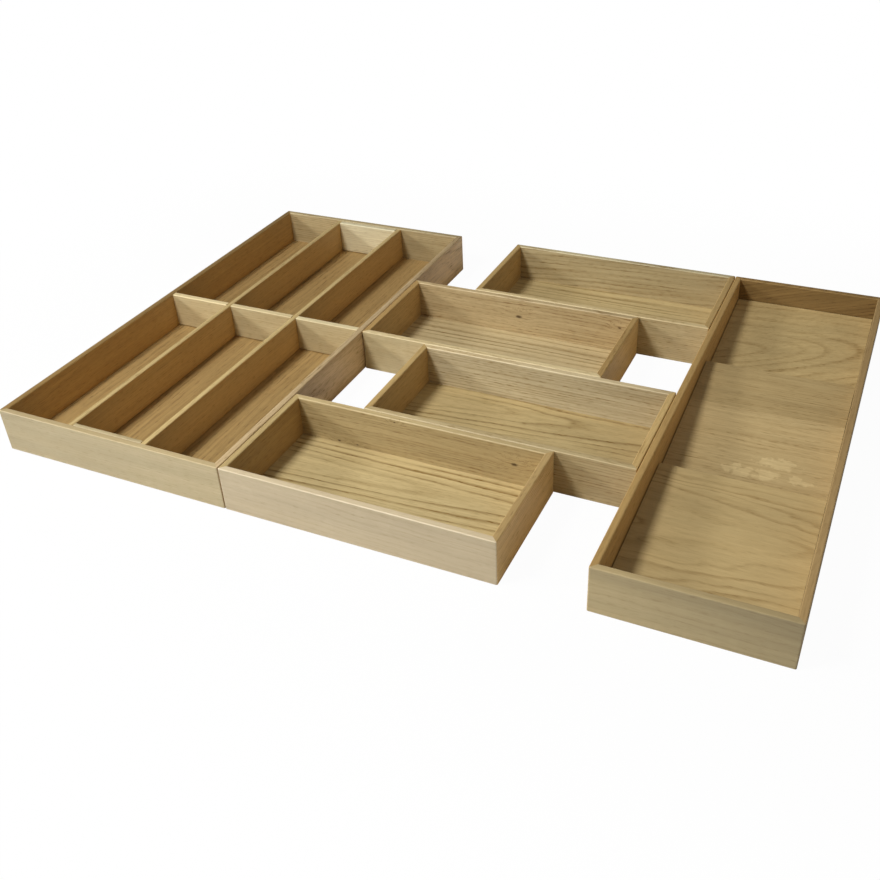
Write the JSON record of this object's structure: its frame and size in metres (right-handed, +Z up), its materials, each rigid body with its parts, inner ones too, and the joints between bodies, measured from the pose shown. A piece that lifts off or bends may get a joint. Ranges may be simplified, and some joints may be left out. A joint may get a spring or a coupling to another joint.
{
  "type": "cutlery tray",
  "caption": "Modular oak drawer organiser: a divided cutlery tray with loose cross dividers, small boxes that slide across a bay, and a spice tray with sloping lift-out tiers.",
  "frame": {"origin": "on the drawer floor, at the middle of the whole set seen from above", "axes": "+X across the drawer to the right, +Y to the back of the drawer, +Z up"},
  "size_m": [0.6744, 0.472, 0.0405],
  "materials": {
    "wall_oak": "satin lacquered oak",
    "floor_oak": "satin lacquered oak veneer",
    "divider_oak": "satin lacquered oak",
    "tier_oak": "satin lacquered oak"
  },
  "bodies": {
    "cutlery_tray": {"cutlery_front_wall": "wall_oak", "cutlery_right_wall": "wall_oak", "cutlery_back_wall": "wall_oak", "cutlery_left_wall": "wall_oak", "cutlery_floor": "floor_oak", "long_divider_left": "divider_oak", "long_divider_right": "divider_oak"},
    "cross_divider_left_centre": {"cross_divider_left_centre": "divider_oak"},
    "cross_divider_middle_centre": {"cross_divider_middle_centre": "divider_oak"},
    "cross_divider_right_centre": {"cross_divider_right_centre": "divider_oak"},
    "cross_divider_middle_front": {"cross_divider_middle_front": "divider_oak"},
    "cross_divider_middle_back": {"cross_divider_middle_back": "divider_oak"},
    "box_1": {"box_1_front_wall": "wall_oak", "box_1_right_wall": "wall_oak", "box_1_back_wall": "wall_oak", "box_1_left_wall": "wall_oak", "box_1_floor": "floor_oak"},
    "box_2": {"box_2_front_wall": "wall_oak", "box_2_right_wall": "wall_oak", "box_2_back_wall": "wall_oak", "box_2_left_wall": "wall_oak", "box_2_floor": "floor_oak"},
    "box_3": {"box_3_front_wall": "wall_oak", "box_3_right_wall": "wall_oak", "box_3_back_wall": "wall_oak", "box_3_left_wall": "wall_oak", "box_3_floor": "floor_oak"},
    "box_4": {"box_4_front_wall": "wall_oak", "box_4_right_wall": "wall_oak", "box_4_back_wall": "wall_oak", "box_4_left_wall": "wall_oak", "box_4_floor": "floor_oak"},
    "spice_tray": {"spice_front_wall": "wall_oak", "spice_right_wall": "wall_oak", "spice_back_wall": "wall_oak", "spice_left_wall": "wall_oak", "spice_floor": "floor_oak"},
    "tier_front": {"tier_front_board": "tier_oak", "tier_front_riser": "tier_oak"},
    "tier_middle": {"tier_middle_board": "tier_oak", "tier_middle_riser": "tier_oak"},
    "tier_back": {"tier_back_board": "tier_oak", "tier_back_riser": "tier_oak"}
  },
  "joints": [
    {"name": "cross_divider_left_centre_slide", "type": "slide", "parent": "cutlery_tray", "child": "cross_divider_left_centre", "axis": [0, 1, 0], "range_m": [-0.2311, 0.2227]},
    {"name": "cross_divider_right_centre_slide", "type": "slide", "parent": "cutlery_tray", "child": "cross_divider_right_centre", "axis": [0, 1, 0], "range_m": [-0.2311, 0.2227]},
    {"name": "cross_divider_middle_front_slide", "type": "slide", "parent": "cutlery_tray", "child": "cross_divider_middle_front", "axis": [0, 1, 0], "range_m": [0, 0.11]},
    {"name": "cross_divider_middle_back_slide", "type": "slide", "parent": "cutlery_tray", "child": "cross_divider_middle_back", "axis": [0, 1, 0], "range_m": [-0.106, 0]},
    {"name": "cross_divider_middle_centre_slide", "type": "slide", "parent": "cutlery_tray", "child": "cross_divider_middle_centre", "axis": [0, 1, 0], "range_m": [-0.113, 0.11]},
    {"name": "box_1_slide", "type": "slide", "parent": "cutlery_tray", "child": "box_1", "axis": [1, 0, 0], "range_m": [0, 0.066]},
    {"name": "box_2_slide", "type": "slide", "parent": "cutlery_tray", "child": "box_2", "axis": [1, 0, 0], "range_m": [-0.066, 0]},
    {"name": "box_3_slide", "type": "slide", "parent": "cutlery_tray", "child": "box_3", "axis": [1, 0, 0], "range_m": [0, 0.066]},
    {"name": "box_4_slide", "type": "slide", "parent": "cutlery_tray", "child": "box_4", "axis": [1, 0, 0], "range_m": [-0.066, 0]},
    {"name": "spice_tray_lift", "type": "slide", "parent": "cutlery_tray", "child": "spice_tray", "axis": [0, 0, 1], "range_m": [0, 0.06]},
    {"name": "tier_front_lift", "type": "slide", "parent": "spice_tray", "child": "tier_front", "axis": [0, 0, 1], "range_m": [0, 0.045]},
    {"name": "tier_middle_lift", "type": "slide", "parent": "spice_tray", "child": "tier_middle", "axis": [0, 0, 1], "range_m": [0, 0.045]},
    {"name": "tier_back_lift", "type": "slide", "parent": "spice_tray", "child": "tier_back", "axis": [0, 0, 1], "range_m": [0, 0.045]}
  ]
}
